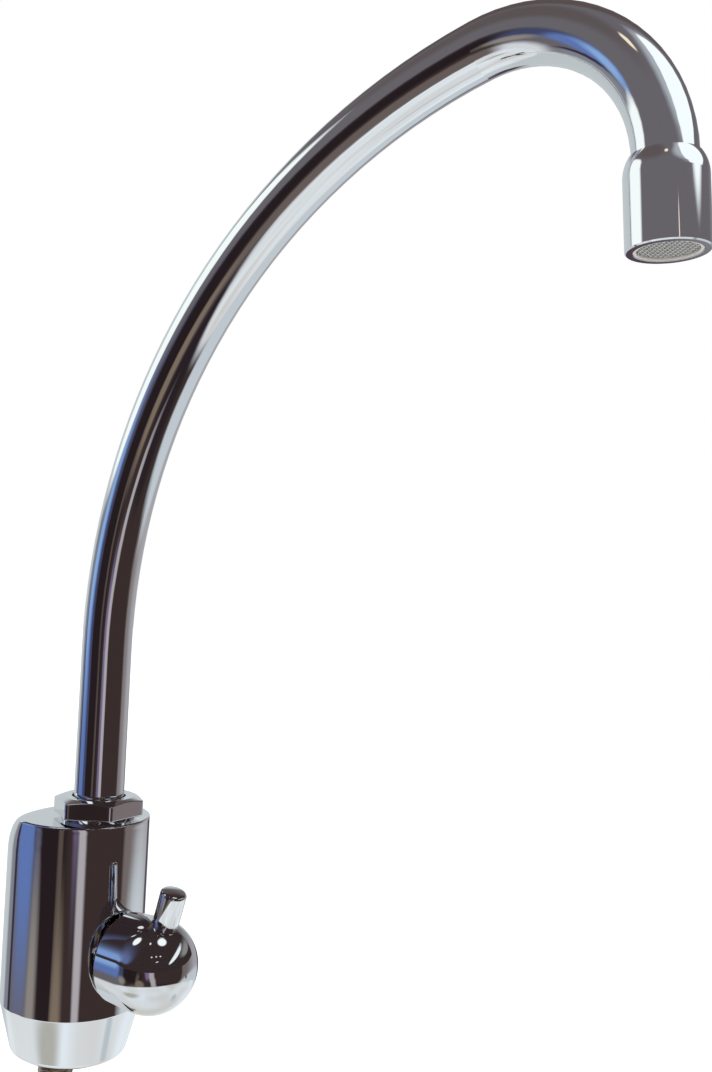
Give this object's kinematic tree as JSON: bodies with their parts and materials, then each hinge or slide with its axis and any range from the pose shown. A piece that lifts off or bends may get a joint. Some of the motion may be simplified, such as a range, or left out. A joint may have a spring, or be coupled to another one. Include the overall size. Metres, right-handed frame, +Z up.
{
  "type": "water filter faucet",
  "caption": "Chromed deck-mounted water filter faucet with a swivelling gooseneck spout, an aerator and a ball-nosed knob with a lever pin that turns a ceramic disc cartridge.",
  "frame": {"origin": "where the spout's upright swivel axis meets the deck, which is the plane of the body's foot", "axes": "+Z up along the swivel axis, +X from the body towards the knob and, at rest, the outlet; the knob's axis and the shank's axis lie in the XZ plane"},
  "size_m": [0.1972, 0.0376, 0.324],
  "materials": {
    "body_chrome": "polished",
    "nut_chrome": "polished",
    "tube_chrome": "polished",
    "collar_chrome": "polished",
    "knob_chrome": "polished",
    "pin_chrome": "polished",
    "shank_brass": "satin",
    "lock_nut_brass": "satin",
    "cartridge_brass": "satin",
    "stem_brass": "satin",
    "tail_brass": "satin",
    "washer_steel": "satin",
    "screw_steel": "satin",
    "clip_steel": "satin",
    "sieve_steel": "satin",
    "screen_steel": "woven",
    "seal_rubber": "matte",
    "washer_rubber": "matte",
    "slip_plastic": "matte",
    "aerator_plastic": "matte",
    "aerator_shell": "matte",
    "ceramic": "lapped"
  },
  "bodies": {
    "valve": {"valve_body": "body_chrome", "base_seal": "seal_rubber", "mounting_shank": "shank_brass", "shank_seal": "seal_rubber", "rubber_washer": "washer_rubber", "steel_washer": "washer_steel", "lock_nut": "lock_nut_brass", "spout_nut": "nut_chrome", "glide_washer": "slip_plastic", "thrust_washer": "slip_plastic", "cartridge_housing": "cartridge_brass", "cartridge_o_ring": "seal_rubber", "seat_seal": "seal_rubber", "fixed_disc": "ceramic"},
    "spout": {"spout_tube": "tube_chrome", "spout_tail": "tail_brass", "tail_o_rings": "seal_rubber", "outlet_collar": "collar_chrome", "aerator_seal": "seal_rubber", "aerator_body": "aerator_shell", "inlet_sieve": "sieve_steel", "jet_plate": "aerator_plastic", "mixer_ring": "aerator_plastic", "outlet_screens": "screen_steel"},
    "knob": {"knob_ball": "knob_chrome", "knob_pin": "pin_chrome", "knob_set_screw": "screw_steel", "cartridge_stem": "stem_brass", "stem_o_rings": "seal_rubber", "stem_clip": "clip_steel", "moving_disc": "ceramic"}
  },
  "joints": [
    {"name": "spout_swivel", "type": "hinge", "parent": "valve", "child": "spout", "pos_m": [0, 0, 0], "axis": [0, 0, 1], "continuous": true},
    {"name": "knob_turn", "type": "hinge", "parent": "valve", "child": "knob", "pos_m": [0, 0, 0.0301], "axis": [1, 0, 0], "range_deg": [0, 90]}
  ]
}
